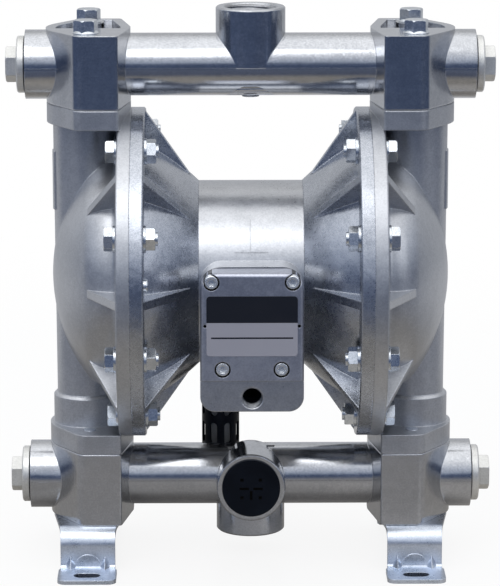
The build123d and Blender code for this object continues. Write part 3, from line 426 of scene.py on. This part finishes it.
slotOf = {s["node"]: s["material_slot"] for s in frame["record"]["subparts"]}
bodyOf = {n: body for body, names in frame["record"]["behaviour"]["bodies"].items() for n in names}


def finishOf(name):
    return special.get(name, finishes[slotOf[name]])


creaseAngle = math.radians(28.0)


# An object in the scene from a finished mesh, shaded smooth where it bends less than the crease angle
def newPiece(mesh, node):
    mesh.polygons.foreach_set("use_smooth", np.ones(len(mesh.polygons), bool))
    mesh.set_sharp_from_angle(angle=creaseAngle)
    mesh.materials.append(finishOf(node))
    piece = bpy.data.objects.new(mesh.name, mesh)
    bpy.context.scene.collection.objects.link(piece)
    return piece


# A node's own surface, its corners joined where they lie within a micrometre
def smoothCopy(name):
    source = nodes[name].data
    points = np.empty(len(source.vertices) * 3)
    source.vertices.foreach_get("co", points)
    corners = np.empty(len(source.loops), np.int64)
    source.loops.foreach_get("vertex_index", corners)
    keys = np.round(points.reshape(-1, 3) * 1e6).astype(np.int64)
    _, first, inverse = np.unique(keys, axis=0, return_index=True, return_inverse=True)
    faces = inverse.reshape(-1)[corners].reshape(-1, 3)
    whole = (faces[:, 0] != faces[:, 1]) & (faces[:, 1] != faces[:, 2]) & (faces[:, 0] != faces[:, 2])
    mesh = bpy.data.meshes.new(name + "_skin")
    mesh.from_pydata(points.reshape(-1, 3)[first].tolist(), [], faces[whole].tolist())
    piece = newPiece(mesh, name)
    weigh = piece.modifiers.new("weighted", "WEIGHTED_NORMAL")
    weigh.keep_sharp = True
    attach(piece, bodyOf[name])
    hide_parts(name)


shownNodes = [
    "center_body", "fluid_chamber_left", "fluid_chamber_right", "air_chamber_left", "air_chamber_right",
    "top_manifold", "bottom_manifold", "manifold_plugs", "top_manifold_bolts", "bottom_manifold_bolts",
    "foot_left", "foot_right", "port_cap", "valve_cover", "cover_screws", "label_plate", "muffler",
    "muffler_element", "chamber_bolts", "chamber_nuts", "chamber_washers", "earth_screw", "plug_rings",
    "cover_gasket",
]
for name in shownNodes:
    smoothCopy(name)
for name, node in nodes.items():
    if name not in shownNodes:
        if not node.material_slots:
            node.data.materials.append(finishOf(name))
        for slot in node.material_slots:
            slot.material = finishOf(name)
print("nodes dressed:", len(nodes))


diaphragmLook = {
    "seam": 0.0723, "middle": 0.17751, "web": 0.00145, "bore": 0.0081, "loop": (0.048, 0.073), "rise": 0.006,
    "bead": (0.0781, 0.0829), "beadHalf": 0.0029, "sectors": 12, "steps": 8, "rolls": 24,
}


# Closed outline of a diaphragm, as offset from the seam and radius: flat web, rolling loop, square bead.
# The loop is an arc, sqrt(circle^2 - (radius - its middle)^2), lowered until its ends meet the web.
def diaphragmOutline(look):
    start, end = look["loop"]
    web, bead = look["web"], look["beadHalf"]
    half = (end - start) / 2
    circle = (half * half + look["rise"] ** 2) / (2 * look["rise"])
    radius = np.linspace(start, end, look["rolls"] + 1)
    roll = np.sqrt(circle ** 2 - (radius - start - half) ** 2) - (circle - look["rise"])
    inner, outer = look["bead"]
    rim = [(-web, inner), (-bead, inner), (-bead, outer), (bead, outer), (bead, inner), (web, inner)]
    low = np.stack([-web - roll, radius], -1)
    high = np.stack([web - roll, radius], -1)[::-1]
    return np.concatenate([[(-web, look["bore"])], low, rim, high, [(web, look["bore"])]])


# One sector: the outline is turned about the shaft, y = radius sin(turn), z = middle + radius cos(turn).
def diaphragmSector(node, side, number, look):
    outline = diaphragmOutline(look)
    share = np.linspace(number, number + 1, look["steps"] + 1) / look["sectors"]
    turn, offset = np.meshgrid(2 * np.pi * share, outline[:, 0], indexing="ij")
    radius = np.broadcast_to(outline[:, 1], turn.shape)
    x = side * (look["seam"] + offset)
    points = np.stack([x, radius * np.sin(turn), look["middle"] + radius * np.cos(turn)], -1)
    count = len(outline)
    step, place = np.meshgrid(np.arange(look["steps"]), np.arange(count), indexing="ij")
    first = step * count + place
    second = step * count + (place + 1) % count
    quads = np.stack([first, second, second + count, first + count], -1).reshape(-1, 4).tolist()
    last = look["steps"] * count
    caps = [list(range(count - 1, -1, -1)), list(range(last, last + count))]
    mesh = bpy.data.meshes.new("%s_sector%02d" % (node, number))
    mesh.from_pydata(points.reshape(-1, 3).tolist(), [], quads + caps)
    faces = bmesh.new()
    faces.from_mesh(mesh)
    bmesh.ops.recalc_face_normals(faces, faces=faces.faces)
    faces.to_mesh(mesh)
    faces.free()
    piece = newPiece(mesh, node)
    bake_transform(piece)
    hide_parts(node)


for node, side in (("diaphragm_left", -1), ("diaphragm_right", 1)):
    for number in range(diaphragmLook["sectors"]):
        diaphragmSector(node, side, number, diaphragmLook)
print("diaphragms made")


floorLook = {
    "radius": 1.3, "rings": 24, "turns": 96, "paper": grey(0.9), "white": 0.87, "edge": (0.45, 1.0),
    "spread": (-0.20, 0.20), "left": (0.27, 0.255, 0.235, 1.0), "right": (0.50, 0.465, 0.42, 1.0),
    "front": -0.04, "squash": 0.25, "under": (0.05, 0.17),
    "warm": (0.26, 0.235, 0.20, 1.0), "dark": (0.036, 0.050, 0.092, 1.0), "farShade": (0.30, 0.55),
    "behind": (0.05, 0.50), "beside": (0.25, 0.60), "outside": (0.90, 1.25), "sides": 0.5, "mirror": 0.60,
    "rough": 0.28, "slot": {"middle": (0.1, 0.065), "half": (0.013, 0.009)},
    "hollowShade": (0.02, 0.022, 0.03, 1.0),
}


# Round sheet in rings: x = radius share cos(turn), y = radius share sin(turn), z = 0
def diskMesh(name, radius, rings, turns):
    shares = np.linspace(0, 1, rings + 1)[1:]
    share, turn = np.meshgrid(shares, np.arange(turns) * 2 * np.pi / turns, indexing="ij")
    points = np.stack([radius * share * np.cos(turn), radius * share * np.sin(turn), 0 * share], -1)
    ring, spoke = np.meshgrid(np.arange(rings - 1), np.arange(turns), indexing="ij")
    after = (spoke + 1) % turns
    inner = ring * turns
    outer = inner + turns
    quads = np.stack([inner + spoke, outer + spoke, outer + after, inner + after], -1)
    faces = quads.reshape(-1, 4).tolist() + [list(range(turns))]
    mesh = bpy.data.meshes.new(name)
    mesh.from_pydata(points.reshape(-1, 3).tolist(), [], faces)
    piece = bpy.data.objects.new(name, mesh)
    bpy.context.scene.collection.objects.link(piece)
    return piece


# To the camera the floor is white with a soft shadow, with a painted shadow, nearly black, under the slots of
# the feet.
# In the metal it shows painted light and shade: a pale spot near the pump, lighter on the right, painted
# shade further in front, and a white glow behind and beside it.
def floorMaterial(look):
    material, sheet = newMaterial("paperFloor")
    x, y, _ = sheet.axes()
    camera = sheet.add("ShaderNodeLightPath", output="Is Camera Ray")
    glossy = sheet.add("ShaderNodeLightPath", output="Is Glossy Ray")
    through = sheet.add("ShaderNodeLightPath", output="Is Transmission Ray")
    away = distance(x, y, (0.0, 0.0))
    ahead = y - look["front"]
    behind = sheet.between(y, *look["behind"])
    outside = sheet.between(abs(x), *look["outside"])
    beside = sheet.between(abs(x), *look["beside"]) * (1.0 - outside) * look["sides"]
    # Painted light and shade for the metal to reflect: darker further away, a pale spot near the pump,
    # lighter on the right
    farShade = sheet.mixed(sheet.between(away, *look["farShade"]), look["warm"], look["dark"])
    under = sheet.between((x * x * look["squash"] + ahead * ahead) ** 0.5, *look["under"])
    pale = sheet.mixed(sheet.between(x, *look["spread"]), look["left"], look["right"])
    tone = sheet.mixed(under, pale, farShade)
    # Painted shadow under the slots of the feet, drawn as a nearly black patch of floor
    slot = boxMark(abs(x), abs(y), look["slot"])
    seen = sheet.mixed(camera, tone, look["paper"])
    lit = sheet.add("ShaderNodeBsdfPrincipled", inputs={"Base Color": seen, "Roughness": look["rough"]})
    white = sheet.add("ShaderNodeEmission", inputs={"Color": grey(1.0), "Strength": 1.0})
    edge = sheet.between(away, *look["edge"])
    share = camera * (look["white"] + edge * (1.0 - look["white"]))
    share = share + (glossy + through).clamped() * (behind + beside).clamped() * look["mirror"]
    mixed = sheet.add("ShaderNodeMixShader", inputs={0: share.clamped(), 1: lit, 2: white})
    slotShadow = sheet.add("ShaderNodeBsdfDiffuse", inputs={"Color": look["hollowShade"]})
    whole = sheet.add("ShaderNodeMixShader", inputs={0: slot, 1: mixed, 2: slotShadow})
    sheet.add("ShaderNodeOutputMaterial", inputs={"Surface": whole})
    return material


floor = diskMesh("floor", floorLook["radius"], floorLook["rings"], floorLook["turns"])
floor.data.materials.append(floorMaterial(floorLook))


# Room: white backdrop behind, soft ceiling, dim bluish room in front below eye level
roomLook = {
    "front": [(0.0, grey(0.06, 0.03)), (0.42, (0.08, 0.11, 0.19, 1.0)), (0.55, (0.09, 0.125, 0.22, 1.0)),
              (0.605, (0.48, 0.54, 0.66, 1.0)), (0.75, (0.86, 0.90, 0.98, 1.0)), (0.883, grey(1.3, 0.02)),
              (0.983, grey(1.6)), (1.0, grey(1.6))],
    "back": [(0.0, grey(0.25)), (0.46, grey(0.55, 0.03)), (0.60, grey(0.62, 0.03)), (0.82, grey(0.75)),
             (0.953, grey(1.3)), (1.0, grey(1.6))],
    "turn": (-0.05, 0.60), "left": 1.05, "right": 0.85,
}


# The camera sees plain white. All else is lit by a front and a back ramp over height, dimmer on the right.
def makeWorld(look):
    world = bpy.data.worlds.new("room")
    bpy.context.scene.world = world
    sheet = Sheet(world)
    way = sheet.add("ShaderNodeTexCoord", output="Generated")
    side = sheet.add("ShaderNodeSeparateXYZ", inputs={0: way}, output=0)
    across = sheet.add("ShaderNodeSeparateXYZ", inputs={0: way}, output=1)
    height = sheet.add("ShaderNodeSeparateXYZ", inputs={0: way}, output=2)
    level = height * 0.5 + 0.5
    ahead = sheet.add("ShaderNodeValToRGB", {"stops": look["front"]}, {0: level})
    behind = sheet.add("ShaderNodeValToRGB", {"stops": look["back"]}, {0: level})
    room = sheet.mixed(sheet.between(across, *look["turn"]), ahead, behind)
    camera = sheet.add("ShaderNodeLightPath", output="Is Camera Ray")
    through = sheet.add("ShaderNodeLightPath", output="Is Transmission Ray")
    seen = (camera + through).clamped()
    colour = sheet.mixed(seen, room, grey(1.0))
    half = side * 0.5 + 0.5
    level = half * (look["right"] - look["left"]) + look["left"]
    strength = seen + (1.0 - seen) * level
    light = sheet.add("ShaderNodeBackground", inputs={"Color": colour, "Strength": strength})
    sheet.add("ShaderNodeOutputWorld", inputs={"Surface": light})


makeWorld(roomLook)

lampAim = (0.0, 0.0, 0.17)  # middle of the pump
lampLook = {
    "key": {"at": (-0.35, -0.75, 1.25), "size": (0.9, 0.7), "power": 3.5},
    "fill": {"at": (1.1, -0.9, 0.8), "size": (0.6, 0.9), "power": 1.2},
}


# Area lamp that faces the lamps' aim
def addLamp(name, look):
    data = bpy.data.lights.new(name, "AREA")
    data.shape = "RECTANGLE"
    data.size, data.size_y = look["size"]
    data.energy = look["power"]
    lamp = bpy.data.objects.new(name, data)
    bpy.context.scene.collection.objects.link(lamp)
    lamp.location = look["at"]
    x, y, z = np.array(lampAim) - np.array(look["at"])
    tilt = math.pi / 2 + math.atan2(z, math.hypot(x, y))
    lamp.rotation_euler = (tilt, 0.0, math.atan2(y, x) - math.pi / 2)


for name, look in lampLook.items():
    addLamp(name, look)
print("stage and lamps made")

cameraLook = {"at": (-0.022, -1.9823, 0.5991), "down": 12.39, "turn": -0.627, "lens": 202.3, "sensor": 36.0}
cameraData = bpy.data.cameras.new("camera")
cameraData.lens = cameraLook["lens"]
cameraData.sensor_width = cameraLook["sensor"]
camera = bpy.data.objects.new("camera", cameraData)
bpy.context.scene.collection.objects.link(camera)
camera.location = cameraLook["at"]
tilt = math.radians(90 - cameraLook["down"])
camera.rotation_euler = (tilt, 0.0, math.radians(cameraLook["turn"]))
bpy.context.scene.camera = camera
bpy.context.scene.view_settings.view_transform = "Standard"
